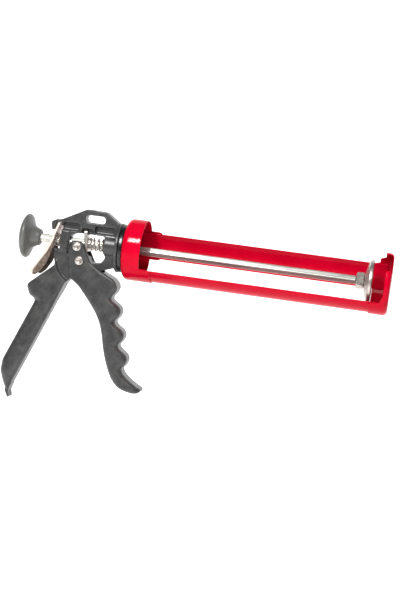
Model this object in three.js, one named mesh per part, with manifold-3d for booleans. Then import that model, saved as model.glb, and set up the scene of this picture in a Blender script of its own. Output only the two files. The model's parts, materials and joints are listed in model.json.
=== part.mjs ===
// A skeleton caulking gun: a cast handle with a straddling trigger, a push rod driven by a gripping plate,
// and a half-open cradle that swivels on the casting's nose.
//
// Millimetres. +X points forward along the push rod, towards the nozzle. +Z points up, away from the grips.
// The gun is laid out from the back face of the cradle's rear cup, and the finished group is moved so that
// its origin is the centre of the piston's pushing face.
import * as THREE from 'three';
import { mergeVertices } from 'three/addons/utils/BufferGeometryUtils.js';
import Module from 'manifold-3d';

const wasm = await Module();
wasm.setup();

// ---------------------------------------------------------------- driving dimensions
const GAP = 0.3; // clearance left between pieces that touch
const ROUND = 48; // facets round a large turned piece
const SMALL_ROUND = 24; // facets round a pin, rivet or bore

const CUP_RADIUS = 28; // outside of the rear cup and of the front cap
const SHEET = 0.9; // steel sheet of the cradle
const LAP_GAP = 0.15; // spot-welded laps lie almost in contact
const CUP_LENGTH = 17.5;
const CUP_CORNER = 5; // pressed corner between the cup's wall and its back
const TONGUE_LENGTH = 10; // cup wall carried on over the root of each rail
const NOSE_RADIUS = 9.6; // casting's nose, on which the cup swivels
const CRADLE_LENGTH = 241; // back of the cup to the front of the cap
const CAP_LENGTH = 17;
const CAP_CORNER = 4;
const NOZZLE_SLOT_RADIUS = 10.5; // half the width of the open slot in the front plate
const SLOT_MOUTH_ROUND = 5;
const SHOULDER = 14; // degrees of shorter wall past the far rail
const SHOULDER_LENGTH = 12.5;
const BRIM_LENGTH = 7.5; // wall left round the rest of the front plate
const RAIL_ARC = 53; // degrees round the barrel
const RAIL_START = 9; // inside the cup
const NEAR_RAIL = 63.5; // centre of each rail, degrees from -Y towards -Z
const FAR_RAIL = 191.5;
const TROUGH = (NEAR_RAIL + FAR_RAIL) / 2; // the closed side of the cradle
const OPENING = TROUGH + 180;

const ROD_FLATS = 7.5; // hexagonal rod, across its flats
const ROD_CORNERS = ROD_FLATS / Math.cos(Math.PI / 6);
const ROD_BORE = ROD_CORNERS / 2 + 0.45; // running hole round the rod
const STUD_RADIUS = 3; // turned and threaded front end of the rod
const PISTON_FACE = 224; // X of the piston's pushing face
const PISTON_RADIUS = 20;
const PISTON_DEPTH = 6.5;
const PISTON_SHEET = 1.2;
const KNOB_RADIUS = 20.5;
const KNOB_BACK = -99;
const KNOB_FRONT = -80.8;

const WEB = 13; // thickness of the casting's web
const GRIP = 20.6; // thickness of the rear grip
const GRIP_EDGE = 2; // rounding of the grip's and the trigger's edges
const LIP = 14; // width of the lip under the grip's tip
const COLUMN = 15; // thickness of the column that the rod passes through
const BOSS_RADIUS = 10.75;
const BOSS_BACK = -20.1;
const FLANGE_RADIUS = 22.5;
const FLANGE_BACK = -7.6;
const FLANGE_FRONT = -4.6;
const NOSE_FRONT = 8.6;
const PIVOT = { x: -40.2, z: -15.8 }; // the trigger turns about this pin
const PIVOT_RADIUS = 3;
const TRIGGER = 22.6; // thickness over the trigger's cheeks
const FORK = 13.8; // slot between the cheeks
const FORK_RADIUS = 22.8; // depth of that slot, round the pivot
const HUB_RADIUS = 19.2; // casting's hub between the cheeks
const SHOE_RIVET = { x: -43.8, z: -3.4 };
const HEAD_RADIUS = 4; // rivet heads
const RIDGES = 4; // finger ridges down the trigger

const PLATE = 3; // drive plate thickness
const PLATE_X = -37;
const PLATE_LEAN = 8; // degrees, foot forward
const SPRING_RADIUS = 6.1; // outside of both springs
const DRIVE_WIRE = 1.4;
const RELEASE_WIRE = 1;

const LEVER_WIDTH = 22; // over the flanges of the release lever
const LEVER_SHEET = 2;
const LEVER_TOP = { x: -63.7, z: 16.2 };
const HANG_SLOT = { x: -30.6, z: 22.8, length: 18.8, height: 6.8 };

// ---------------------------------------------------------------- finishes
const finish = (color, roughness, metalness) =>
  new THREE.MeshStandardMaterial({ color, roughness, metalness });
const castPaint = () => finish(0x505054, 0.55, 0.2);
const blackPaint = () => finish(0x232326, 0.5, 0.1);
const redPaint = () => finish(0xd40c2a, 0.3, 0.05);
const zinc = () => finish(0xc4beb8, 0.35, 0.9);
const wornZinc = () => finish(0x9c948c, 0.5, 0.85);
const brightSteel = () => finish(0xd0d2d6, 0.25, 1);
const blackPlastic = () => finish(0x3a3b3b, 0.55, 0);

// ---------------------------------------------------------------- solids and cuts
// Local axes of a drawn outline: its first two columns are the outline's axes, the third the extrusion.
const SIDE = new THREE.Matrix4().makeBasis(
  new THREE.Vector3(1, 0, 0), new THREE.Vector3(0, 0, 1), new THREE.Vector3(0, -1, 0));
const CROSS = new THREE.Matrix4().makeBasis(
  new THREE.Vector3(0, 1, 0), new THREE.Vector3(0, 0, 1), new THREE.Vector3(1, 0, 0));

function signedVolume(geometry) {
  const p = geometry.attributes.position.array;
  const index = geometry.index.array;
  const [a, b, c] = [new THREE.Vector3(), new THREE.Vector3(), new THREE.Vector3()];
  let sum = 0;
  for (let i = 0; i < index.length; i += 3) {
    a.fromArray(p, 3 * index[i]);
    b.fromArray(p, 3 * index[i + 1]);
    c.fromArray(p, 3 * index[i + 2]);
    sum += a.dot(b.cross(c));
  }
  return sum / 6;
}

// A three.js geometry as a solid that can be joined and cut.
function solid(geometry) {
  const bare = new THREE.BufferGeometry();
  bare.setAttribute('position', geometry.attributes.position);
  bare.setIndex(geometry.index);
  const merged = mergeVertices(bare, 1e-4);
  const corners = [];
  const index = merged.index.array;
  for (let i = 0; i < index.length; i += 3) {
    const [a, b, c] = [index[i], index[i + 1], index[i + 2]];
    if (a !== b && b !== c && c !== a) corners.push(a, b, c);
  }
  merged.setIndex(corners);
  if (signedVolume(merged) < 0) corners.reverse();
  return new wasm.Manifold(new wasm.Mesh({
    numProp: 3,
    vertProperties: new Float32Array(merged.attributes.position.array),
    triVerts: new Uint32Array(corners),
  }));
}

function piece(name, shape, material) {
  const mesh = shape.getMesh();
  const geometry = new THREE.BufferGeometry();
  geometry.setAttribute('position', new THREE.BufferAttribute(new Float32Array(mesh.vertProperties), 3));
  geometry.setIndex(new THREE.BufferAttribute(new Uint32Array(mesh.triVerts), 1));
  geometry.computeVertexNormals();
  const object = new THREE.Mesh(geometry, material);
  object.name = name;
  return object;
}

const union = (first, ...rest) => rest.reduce((sum, next) => sum.add(next), first);
const without = (first, ...cuts) => cuts.reduce((left, cut) => left.subtract(cut), first);

// Corners [x, z, radius] joined by straight lines, each corner rounded by an arc that touches both.
function outline(corners) {
  const shape = new THREE.Shape();
  corners.forEach(([x, z, radius = 0], i) => {
    const corner = new THREE.Vector2(x, z);
    if (radius === 0) {
      shape[i === 0 ? 'moveTo' : 'lineTo'](x, z);
      return;
    }
    const back = new THREE.Vector2(...corners.at(i - 1)).sub(corner);
    const ahead = new THREE.Vector2(...corners[(i + 1) % corners.length]).sub(corner);
    const half = back.angleTo(ahead) / 2;
    const reach = Math.min(radius / Math.tan(half), back.length() * 0.49, ahead.length() * 0.49);
    const fitted = reach * Math.tan(half);
    const middle = back.clone().normalize().add(ahead.clone().normalize()).normalize();
    const centre = corner.clone().addScaledVector(middle, reach / Math.cos(half));
    const start = corner.clone().addScaledVector(back.normalize(), reach).sub(centre);
    const end = corner.clone().addScaledVector(ahead.normalize(), reach).sub(centre);
    shape.absarc(centre.x, centre.y, fitted, start.angle(), end.angle(), start.cross(end) < 0);
  });
  shape.closePath();
  return shape;
}

// An outline in the XZ plane, given a thickness that is centred on the mid-plane, with rounded edges.
function plate(shape, thickness, edge = 0, curveSegments = 3) {
  const geometry = new THREE.ExtrudeGeometry(shape, {
    depth: thickness - 2 * edge,
    curveSegments,
    bevelEnabled: edge > 0,
    bevelThickness: edge,
    bevelSize: edge,
    bevelOffset: -edge,
    bevelSegments: 2,
  });
  geometry.translate(0, 0, -(thickness - 2 * edge) / 2);
  geometry.applyMatrix4(SIDE);
  return solid(geometry);
}

// An outline in the YZ plane, carried from one X to another.
function bar(shape, x0, x1, curveSegments = 12) {
  const geometry = new THREE.ExtrudeGeometry(shape, { depth: x1 - x0, curveSegments, bevelEnabled: false });
  geometry.translate(0, 0, x0);
  geometry.applyMatrix4(CROSS);
  return solid(geometry);
}

// A profile of [x, radius] turned about the rod's axis.
function turned(profile, facets = ROUND) {
  const geometry = new THREE.LatheGeometry(profile.map(([x, r]) => new THREE.Vector2(r, x)), facets);
  geometry.rotateZ(-Math.PI / 2);
  return solid(geometry);
}

// A round bar along X, and a round pin across the gun along Y.
const round = (radius, x0, x1, facets = ROUND) =>
  turned([[x0, 0], [x0, radius], [x1, radius], [x1, 0]], facets);

function pin(radius, x, z, y0, y1, facets = SMALL_ROUND) {
  const geometry = new THREE.CylinderGeometry(radius, radius, y1 - y0, facets);
  geometry.translate(x, (y0 + y1) / 2, z);
  return solid(geometry);
}

function block(x0, x1, y0, y1, z0, z1) {
  const geometry = new THREE.BoxGeometry(x1 - x0, y1 - y0, z1 - z0);
  geometry.translate((x0 + x1) / 2, (y0 + y1) / 2, (z0 + z1) / 2);
  return solid(geometry);
}

// Points of a quarter round between two directions, as [x, radius] steps of a turned profile.
function corner(cx, cr, radius, from, to, steps = 4) {
  return Array.from({ length: steps + 1 }, (_, i) => {
    const angle = THREE.MathUtils.degToRad(from + (to - from) * i / steps);
    return [cx + radius * Math.cos(angle), cr + radius * Math.sin(angle)];
  });
}

// A piece of tube wall between two angles, in degrees from -Y towards -Z.
function wall(inner, outer, fromDegrees, toDegrees, x0, x1, segments = 12) {
  const from = THREE.MathUtils.degToRad(fromDegrees + 180);
  const to = THREE.MathUtils.degToRad(toDegrees + 180);
  const shape = new THREE.Shape();
  shape.absarc(0, 0, outer, from, to, false);
  shape.absarc(0, 0, inner, to, from, true);
  shape.closePath();
  return bar(shape, x0, x1, segments);
}

function hexagon(flats, turnDegrees = 0) {
  const shape = new THREE.Shape();
  for (let i = 0; i < 6; i++) {
    const angle = THREE.MathUtils.degToRad(60 * i + turnDegrees);
    const radius = flats / 2 / Math.cos(Math.PI / 6);
    const [y, z] = [radius * Math.cos(angle), radius * Math.sin(angle)];
    if (i === 0) shape.moveTo(y, z);
    else shape.lineTo(y, z);
  }
  shape.closePath();
  return shape;
}

// A coil spring round the rod: a round wire carried along a helix. Its back end may rest on a leaning
// plate, so the lean, in X per unit of Z, fades out along the spring.
class Helix extends THREE.Curve {
  constructor(radius, x0, x1, turns, lean) {
    super();
    Object.assign(this, { radius, x0, x1, turns, lean });
  }
  getPoint(t, target = new THREE.Vector3()) {
    const angle = 2 * Math.PI * this.turns * t;
    const z = this.radius * Math.sin(angle);
    const x = this.x0 + (this.x1 - this.x0) * t + this.lean * (1 - t) * z;
    return target.set(x, this.radius * Math.cos(angle), z);
  }
}

function coil(wire, x0, x1, turns, lean) {
  const path = new Helix(SPRING_RADIUS - wire / 2, x0 + wire / 2, x1 - wire / 2, turns, lean);
  const section = new THREE.Shape().absarc(0, 0, wire / 2, 0, 2 * Math.PI, false);
  return solid(new THREE.ExtrudeGeometry(section, {
    extrudePath: path, steps: Math.round(turns * 16), curveSegments: 4, bevelEnabled: false,
  }));
}

// ---------------------------------------------------------------- casting: web, grip, boss and nose
// The web's outline, from the front flange back over the hang slot to the lever's hook, down the column's
// back, along the trigger's pivot and forward under the boss.
const webOutline = () => outline([
  [FLANGE_BACK + 0.5, 20.4], [-8.6, 21.8], [-21.2, 30.6, 5], [-39.2, 31.3, 5],
  [-62.6, 19], [-63.8, 18.3], [-65.2, 19.4], [-71.4, 16.4, 1.4], [-70.4, 9],
  [-68.1, 9], [-65.6, 16.9], [-62.2, 16.9], [-61, 13.5], [-61, -8],
  [-68.2, -8, 1.2], [-64.2, -20], [-64.2, -30], [-46, -30], [-32, -31.5, 6],
  [-18, -22, 3], [FLANGE_BACK + 0.5, -18.4],
]);

// The opening in the web where the drive plate and its spring work.
const windowOutline = () => outline([
  [-53.4, 8.6, 8], [BOSS_BACK, 8.6, 2], [BOSS_BACK, -6], [-17.8, -10.4, 2], [-21, -15.8, 3],
  [-28.4, -16.8, 3], [-31.5, -15.8, 2], [-33.4, -11.2], [-37.5, -10], [-44, -10], [-47, -12],
  [-53.4, -12, 1.5],
]);

// The grip is one thick bar under the web, ending in a saddle for the web of the hand.
const gripOutline = () => outline([
  [-63.8, -23.2, 3], [-87.2, -43.4, 5], [-85, -53.8, 5], [-78.8, -56.6, 4], [-103.6, -116.5, 14],
  [-104.4, -127, 7], [-101, -136.6, 8], [-95.8, -146.6, 2.6], [-52, -38.3, 5],
  [-47.6, -33.4, 3], [-50, -13, 4], [-61, -12.5, 5],
]);

// A short lip that carries the grip's back edge on past its tip.
const lipOutline = () => outline([
  [-100.8, -136], [-98.4, -145, 4], [-95.1, -151.4, 1], [-93, -150.8, 1],
  [-94.4, -144.6, 2], [-92, -138], [-95.8, -134],
]);

// Light pockets either side of the web, and the groove that guides the drive plate's forked top.
function pockets() {
  const floor = 2.4;
  const shapes = [
    outline([[-62, 10.2, 1.5], [-44.6, 10.2, 1.5], [-44.6, 17, 1.5], [-59.5, 17, 1.5]]),
    outline([[-30, 10.2, 1.5], [-11.4, 10.2, 1.5], [-11.4, 17, 1.5], [-30, 17, 1.5]]),
    outline([[-42.2, 8, 0], [-31.4, 8, 0], [-31.4, 13.6, 1], [-42.2, 13.6, 1]]),
  ];
  return [-1, 1].flatMap((side) => shapes.map((shape) =>
    plate(shape, WEB, 0).translate([0, side * (floor + WEB / 2), 0])));
}

function casting() {
  const web = plate(webOutline(), WEB);
  const pivotBoss = pin(HUB_RADIUS, PIVOT.x, PIVOT.z, -WEB / 2, WEB / 2, 40);
  const grip = without(
    plate(gripOutline(), GRIP, GRIP_EDGE),
    pin(FORK_RADIUS - GAP, PIVOT.x, PIVOT.z, -GRIP, GRIP, 40),
  );
  const gripCore = plate(gripOutline(), WEB);
  const column = block(-61, -53.4, -COLUMN / 2, COLUMN / 2, -9, 9.4);
  const front = turned([
    [BOSS_BACK - 0.7, 0], [BOSS_BACK - 0.7, BOSS_RADIUS],
    [FLANGE_BACK, BOSS_RADIUS], [FLANGE_BACK, FLANGE_RADIUS],
    [FLANGE_FRONT, FLANGE_RADIUS], [FLANGE_FRONT, NOSE_RADIUS],
    [NOSE_FRONT, NOSE_RADIUS], [NOSE_FRONT, 0],
  ]);
  const slot = plate(outline([
    [HANG_SLOT.x - HANG_SLOT.length / 2, HANG_SLOT.z - HANG_SLOT.height / 2, 3.2],
    [HANG_SLOT.x + HANG_SLOT.length / 2, HANG_SLOT.z - HANG_SLOT.height / 2, 3.2],
    [HANG_SLOT.x + HANG_SLOT.length / 2, HANG_SLOT.z + HANG_SLOT.height / 2, 3.2],
    [HANG_SLOT.x - HANG_SLOT.length / 2, HANG_SLOT.z + HANG_SLOT.height / 2, 3.2],
  ]), GRIP);
  return without(
    union(web, pivotBoss, gripCore, grip, plate(lipOutline(), LIP), column, front),
    plate(windowOutline(), GRIP + 4),
    slot,
    ...pockets(),
    round(ROD_BORE, -75, 12, SMALL_ROUND),
    pin(PIVOT_RADIUS + GAP, PIVOT.x, PIVOT.z, -GRIP, GRIP),
  );
}

// ---------------------------------------------------------------- trigger
// Four finger ridges, evenly spaced down the front edge with a hollow under each.
function triggerOutline() {
  const ridge = (i) => [
    [-4.8 + 5.6 * i, -31.4 - 21.4 * i],
    [-2.7 + 5.6 * i, -36 - 21.4 * i],
    [-3.9 + 5.6 * i, -40.8 - 21.4 * i],
    [-6.7 + 5.6 * i, -44.6 - 21.4 * i],
    [-6.3 + 5.8 * i, -48 - 21.4 * i],
  ];
  const front = Array.from({ length: RIDGES }, (_, i) => ridge(i)).flat();
  const toe = [[15.2, -116.4], [22.8, -121.6], [29.8, -125.2]];
  const back = [
    [21.7, -129.8], [9.7, -127], [1.5, -119.2], [-4.6, -106.8], [-9, -93.8], [-13.3, -76.2],
    [-18.6, -64.2], [-26.4, -53.4], [-38.4, -39.6],
  ];
  const curve = (points) => points.map(([x, z]) => new THREE.Vector2(x, z));
  const shape = new THREE.Shape();
  shape.moveTo(-20, -22.9);
  shape.lineTo(-8, -28.3);
  shape.splineThru(curve([...front, ...toe]));
  shape.quadraticCurveTo(31, -130.2, ...back[0]);
  shape.splineThru(curve(back.slice(1)));
  shape.quadraticCurveTo(-43, -35.2, -46.8, -33.4);
  shape.quadraticCurveTo(-52, -20, -51.8, -4);
  shape.quadraticCurveTo(-51.4, 1.4, -47, 1.4);
  shape.lineTo(-42, 1.4);
  shape.quadraticCurveTo(-38.4, 1, -36.6, -4);
  shape.lineTo(-30, -16);
  shape.closePath();
  return shape;
}

function trigger() {
  return without(
    plate(triggerOutline(), TRIGGER, GRIP_EDGE, 3),
    pin(FORK_RADIUS, PIVOT.x, PIVOT.z, -FORK / 2, FORK / 2, 40),
    pin(PIVOT_RADIUS + GAP, PIVOT.x, PIVOT.z, -TRIGGER, TRIGGER),
    pin(HEAD_RADIUS / 2 + GAP, SHOE_RIVET.x, SHOE_RIVET.z, -TRIGGER, TRIGGER),
  );
}

// A rivet across the gun: shank and a domed head at each closed end.
function rivet(shank, x, z, y0, y1, headAt) {
  const heads = headAt.map((y) => {
    const out = Math.sign(y);
    const [top, bottom] = out > 0 ? [2.9, HEAD_RADIUS] : [HEAD_RADIUS, 2.9];
    const head = new THREE.CylinderGeometry(top, bottom, 1.4, SMALL_ROUND);
    head.translate(x, y + out * 0.7, z);
    return solid(head);
  });
  return union(pin(shank, x, z, y0, y1), ...heads);
}

const pivotPin = () => rivet(PIVOT_RADIUS, PIVOT.x, PIVOT.z,
  -TRIGGER / 2 - GAP, TRIGGER / 2 + GAP, [-TRIGGER / 2 - GAP, TRIGGER / 2 + GAP]);

function shoeRivet(side) {
  const inner = side * (FORK / 2 - 1.2);
  const outer = side * (TRIGGER / 2 + GAP);
  return rivet(HEAD_RADIUS / 2, SHOE_RIVET.x, SHOE_RIVET.z,
    Math.min(inner, outer), Math.max(inner, outer), [outer]);
}

// A bent steel stirrup that passes under the rod; its two round noses push the drive plate.
function driveShoe() {
  const ear = () => {
    const shape = new THREE.Shape();
    shape.absarc(-42.5, -3.5, 4, -Math.PI / 2, Math.PI / 2, false);
    shape.lineTo(-46.5, 0.5);
    shape.lineTo(-47.5, -9.4);
    shape.lineTo(-41.5, -9.4);
    shape.closePath();
    return plate(shape, 1);
  };
  const ears = [-1, 1].map((side) => without(
    ear().translate([0, side * (FORK / 2 - 0.8), 0]),
    pin(HEAD_RADIUS / 2 + GAP, SHOE_RIVET.x, SHOE_RIVET.z, -FORK, FORK),
  ));
  return union(...ears, block(-47.5, -41.5, -FORK / 2 + 0.3, FORK / 2 - 0.3, -9.4, -8.4));
}

// ---------------------------------------------------------------- drive plate and springs
function drivePlate() {
  const shape = new THREE.Shape();
  const half = WEB / 2 - 0.1;
  shape.moveTo(-half, -7.2);
  shape.lineTo(half, -7.2);
  shape.lineTo(half, 9.6);
  shape.quadraticCurveTo(half, 12, half - 2, 12);
  shape.lineTo(2.9, 12);
  shape.lineTo(2.9, 8);
  shape.lineTo(-2.9, 8);
  shape.lineTo(-2.9, 12);
  shape.lineTo(2 - half, 12);
  shape.quadraticCurveTo(-half, 12, -half, 9.6);
  shape.closePath();
  return bar(shape, -PLATE / 2, PLATE / 2)
    .subtract(round(ROD_BORE + 0.2, -PLATE, PLATE, SMALL_ROUND))
    .rotate([0, -PLATE_LEAN, 0])
    .translate([PLATE_X, 0, 0]);
}

// ---------------------------------------------------------------- release lever
// A channel hooked under the casting's claw: its back crosses the rod, and its flanges grow downwards.
function releaseLever() {
  const backLine = [[LEVER_TOP.x, LEVER_TOP.z], [-68.9, 1], [-73.8, -11.2], [-79.4, -20], [-85.2, -29.6]];
  const thick = (points, depth) => points.map(([x, z]) => [x + depth * 0.94, z - depth * 0.34]);
  const back = outline([...backLine, ...thick(backLine, LEVER_SHEET).reverse()]);
  const flange = outline([
    [-69, 4.6], [-65.4, 3.6, 2], [-66.6, -9], [-70.4, -21.5], [-75.4, -29.6, 4], [-80.4, -34.4, 5],
    [-84.6, -33, 3], [-85.2, -29.6], [-79.4, -20], [-73.8, -11.2],
  ]);
  const half = LEVER_WIDTH / 2;
  const flanges = [-1, 1].map((side) =>
    plate(flange, LEVER_SHEET).translate([0, side * (half - LEVER_SHEET / 2), 0]));
  const hole = round(ROD_BORE + 0.8, -80, -60, SMALL_ROUND);
  return without(union(plate(back, LEVER_WIDTH), ...flanges), hole);
}

// ---------------------------------------------------------------- push rod, piston and knob
const rod = () => union(
  bar(hexagon(ROD_FLATS), -90, 209.5),
  round(STUD_RADIUS, 209, PISTON_FACE, SMALL_ROUND),
);

// A pressed dish, hollow side forward, with a short rim.
function piston() {
  const [back, face] = [PISTON_FACE - PISTON_DEPTH, PISTON_FACE];
  const [radius, sheet] = [PISTON_RADIUS, PISTON_SHEET];
  const hole = STUD_RADIUS + GAP;
  return turned([
    [back, hole], [back, 9], [back + 1.2, 13], [face - 3.4, radius - 1], [face - 2.6, radius],
    [face, radius], [face, radius - 2.6], [face - 2, radius - 3.4],
    [back + 2.2 + sheet, 11.6], [back + sheet, 8], [back + sheet, hole], [back, hole],
  ], 40);
}

const nut = (flats, x0, x1, bore) =>
  bar(hexagon(flats, 30), x0, x1).subtract(round(bore, x0 - 1, x1 + 1, SMALL_ROUND));
const rearNut = () => nut(13, 210, PISTON_FACE - PISTON_DEPTH - GAP, STUD_RADIUS + GAP);
const frontNut = () => nut(10, PISTON_FACE - 4.1, PISTON_FACE - 0.6, STUD_RADIUS + GAP);
const frontWasher = () => turned([
  [PISTON_FACE - PISTON_DEPTH + PISTON_SHEET + 0.2, STUD_RADIUS + GAP],
  [PISTON_FACE - PISTON_DEPTH + PISTON_SHEET + 0.2, 6.5],
  [PISTON_FACE - 4.3, 6.5],
  [PISTON_FACE - 4.3, STUD_RADIUS + GAP],
  [PISTON_FACE - PISTON_DEPTH + PISTON_SHEET + 0.2, STUD_RADIUS + GAP],
], SMALL_ROUND);

// A moulded mushroom knob pressed on the rod's end.
function knob() {
  const [back, front, radius] = [KNOB_BACK, KNOB_FRONT, KNOB_RADIUS];
  return turned([
    [back - 1.4, 0], [back - 0.8, 8], [back + 1, 14.5], [back + 3.4, radius - 1.2], [back + 5, radius],
    [back + 6.3, radius - 1], [back + 7.6, 17.4], [back + 8.6, 13.4], [back + 10, 10.6],
    [front - 3.4, 8], [front - 0.8, 7.25], [front, 6.6], [front, ROD_CORNERS / 2 + GAP],
    [back + 8, ROD_CORNERS / 2 + GAP], [back + 8, 0],
  ], 40);
}

// ---------------------------------------------------------------- cradle
function rearCup() {
  const [r, s, c, end] = [CUP_RADIUS, SHEET, CUP_CORNER, CUP_LENGTH + TONGUE_LENGTH];
  const hole = NOSE_RADIUS + 0.5;
  const shell = turned([
    [0, hole], ...corner(c, r - c, c, 180, 90), [end, r], [end, r - s], ...corner(c, r - c, c - s, 90, 180),
    [s, hole], [0, hole],
  ]);
  const margin = RAIL_ARC / 2 + 2.5;
  const between = (from, to) => wall(r - 4, r + 4, from, to, CUP_LENGTH, end + 1, 24);
  return without(
    shell,
    between(NEAR_RAIL + margin, FAR_RAIL - margin),
    between(FAR_RAIL + margin, OPENING),
    between(OPENING - 1, NEAR_RAIL + 360 - margin),
  );
}

const rail = (centre) => wall(
  CUP_RADIUS - 2 * SHEET - LAP_GAP, CUP_RADIUS - SHEET - LAP_GAP,
  centre - RAIL_ARC / 2, centre + RAIL_ARC / 2, RAIL_START, CRADLE_LENGTH - 5,
);

// The nozzle plate: a pressed cap whose wall is left only between the rails, slotted to drop the nozzle in.
function frontCap() {
  const [r, s, c] = [CUP_RADIUS, SHEET, CAP_CORNER];
  const [end, start] = [CRADLE_LENGTH, CRADLE_LENGTH - CAP_LENGTH];
  const shell = turned([
    [start, r], ...corner(end - c - 0.6, r - c, c, 90, 15), [end, 18], [end, 0],
    [end - s, 0], [end - s, 18], ...corner(end - c - 0.6, r - c, c - s, 15, 90), [start, r - s], [start, r],
  ]);
  const wallFrom = NEAR_RAIL - RAIL_ARC / 2 - 0.5;
  const wallTo = FAR_RAIL + RAIL_ARC / 2 + 0.5;
  const cutAway = wall(r - 6, r + 4, wallTo + SHOULDER, wallFrom + 360, start - 1, end - BRIM_LENGTH, 24)
    .add(wall(r - 6, r + 4, wallTo, wallTo + SHOULDER + 1, start - 1, end - SHOULDER_LENGTH, 8));
  const w = NOZZLE_SLOT_RADIUS;
  const m = SLOT_MOUTH_ROUND;
  const mouth = new THREE.Shape();
  mouth.absarc(0, 0, w, Math.PI / 2, -Math.PI / 2, false);
  mouth.lineTo(r - m - 2, -w);
  mouth.quadraticCurveTo(r - 1, -w, r + 2, -w - m);
  mouth.lineTo(r + 2, w + m);
  mouth.quadraticCurveTo(r - 1, w, r - m - 2, w);
  mouth.closePath();
  const slot = bar(mouth, end - 9, end + 2).rotate([OPENING - 180, 0, 0]);
  return without(shell, cutAway, slot);
}

// ---------------------------------------------------------------- swivel
const ring = (inner, outer, x0, x1) =>
  turned([[x0, inner], [x0, outer], [x1, outer], [x1, inner], [x0, inner]]);
const swivelRing = () => ring(NOSE_RADIUS + GAP, 22, FLANGE_FRONT + GAP, -GAP);
const springWasher = () => ring(NOSE_RADIUS + GAP, 14.5, SHEET + GAP, SHEET + GAP + 1.1);
const retainerNut = () => nut(24, SHEET + 2.6, 7.4, NOSE_RADIUS + GAP);

// ---------------------------------------------------------------- the gun
const gun = new THREE.Group();
gun.position.x = -PISTON_FACE;
gun.add(
  piece('handle_casting', casting(), castPaint()),
  piece('trigger_pivot_pin', pivotPin(), zinc()),
  piece('trigger', trigger(), castPaint()),
  piece('drive_shoe', driveShoe(), zinc()),
  piece('shoe_rivet_near', shoeRivet(-1), zinc()),
  piece('shoe_rivet_far', shoeRivet(1), zinc()),
  piece('drive_plate', drivePlate(), zinc()),
  piece('drive_spring', coil(DRIVE_WIRE, -34.2, BOSS_BACK - GAP, 4, -0.14), zinc()),
  piece('release_lever', releaseLever(), wornZinc()),
  piece('release_spring', coil(RELEASE_WIRE, -66.7, -61 - GAP, 2, 0.36), zinc()),
  piece('push_rod', rod(), brightSteel()),
  piece('pull_knob', knob(), blackPlastic()),
  piece('piston_disc', piston(), zinc()),
  piece('piston_rear_nut', rearNut(), zinc()),
  piece('piston_front_washer', frontWasher(), zinc()),
  piece('piston_front_nut', frontNut(), zinc()),
  piece('swivel_ring', swivelRing(), blackPaint()),
  piece('swivel_spring_washer', springWasher(), zinc()),
  piece('swivel_retainer_nut', retainerNut(), zinc()),
  piece('rear_cup', rearCup(), redPaint()),
  piece('near_rail', rail(NEAR_RAIL), redPaint()),
  piece('far_rail', rail(FAR_RAIL), redPaint()),
  piece('front_cap', frontCap(), redPaint()),
);

export default gun;
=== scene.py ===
# %% [markdown]
# # A skeleton caulking gun
#
# A caulking gun drives the piston of a sealant cartridge with a hexagonal steel rod. The trigger pushes a
# leaning steel plate that grips the rod, a second plate under the thumb lets the rod go, and a half-open
# cradle of pressed red sheet holds the cartridge. The CAD frame gives every size and every joint. The cells
# below give each piece the shape and the finish that its maker's process leaves on it.

# %% Open the frame
import json
import math
import bmesh
import bpy
import numpy as np
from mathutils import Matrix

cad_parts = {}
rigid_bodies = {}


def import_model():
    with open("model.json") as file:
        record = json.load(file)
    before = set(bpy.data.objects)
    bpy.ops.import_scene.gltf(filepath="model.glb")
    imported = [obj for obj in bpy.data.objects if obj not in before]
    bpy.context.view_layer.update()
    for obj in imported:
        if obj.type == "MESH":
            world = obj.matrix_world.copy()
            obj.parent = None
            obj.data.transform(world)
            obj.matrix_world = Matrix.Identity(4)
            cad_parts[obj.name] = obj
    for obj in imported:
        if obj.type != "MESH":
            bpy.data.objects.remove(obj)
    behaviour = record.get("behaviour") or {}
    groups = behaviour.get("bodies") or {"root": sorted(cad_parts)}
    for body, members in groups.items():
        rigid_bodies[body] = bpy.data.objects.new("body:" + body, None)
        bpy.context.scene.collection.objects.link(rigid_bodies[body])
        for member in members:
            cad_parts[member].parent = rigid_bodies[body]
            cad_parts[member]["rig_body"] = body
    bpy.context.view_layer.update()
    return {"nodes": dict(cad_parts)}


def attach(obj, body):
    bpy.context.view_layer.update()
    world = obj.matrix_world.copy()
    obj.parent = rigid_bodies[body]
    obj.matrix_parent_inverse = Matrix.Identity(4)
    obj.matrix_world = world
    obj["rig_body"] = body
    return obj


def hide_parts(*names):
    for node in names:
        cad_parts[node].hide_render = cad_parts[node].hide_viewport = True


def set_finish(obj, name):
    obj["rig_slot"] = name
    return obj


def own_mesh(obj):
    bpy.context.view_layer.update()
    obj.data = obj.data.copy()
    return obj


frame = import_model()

# %% [markdown]
# ## From the layout to the frame
#
# The gun is laid out in millimetres from the back of the cradle's cup. The frame's origin is the centre of
# the piston's pushing face, 224 mm further forward, and its unit is the metre.

# %% Layout and frame
PISTON_FACE = 224.0


def place(points):
    """Layout to frame: x' = (x - 224) / 1000, y' = y / 1000, z' = z / 1000."""
    return (np.asarray(points, float) - (PISTON_FACE, 0, 0)) / 1000


print("the cup's back is at", place([0, 0, 0]))

# %% [markdown]
# ## Surfaces from grids
#
# Turned, drawn, coiled and pressed pieces are all a profile carried along a path, so each one is an array
# of points with two parameters. One function joins the points into quads, with the normals outward.

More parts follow.
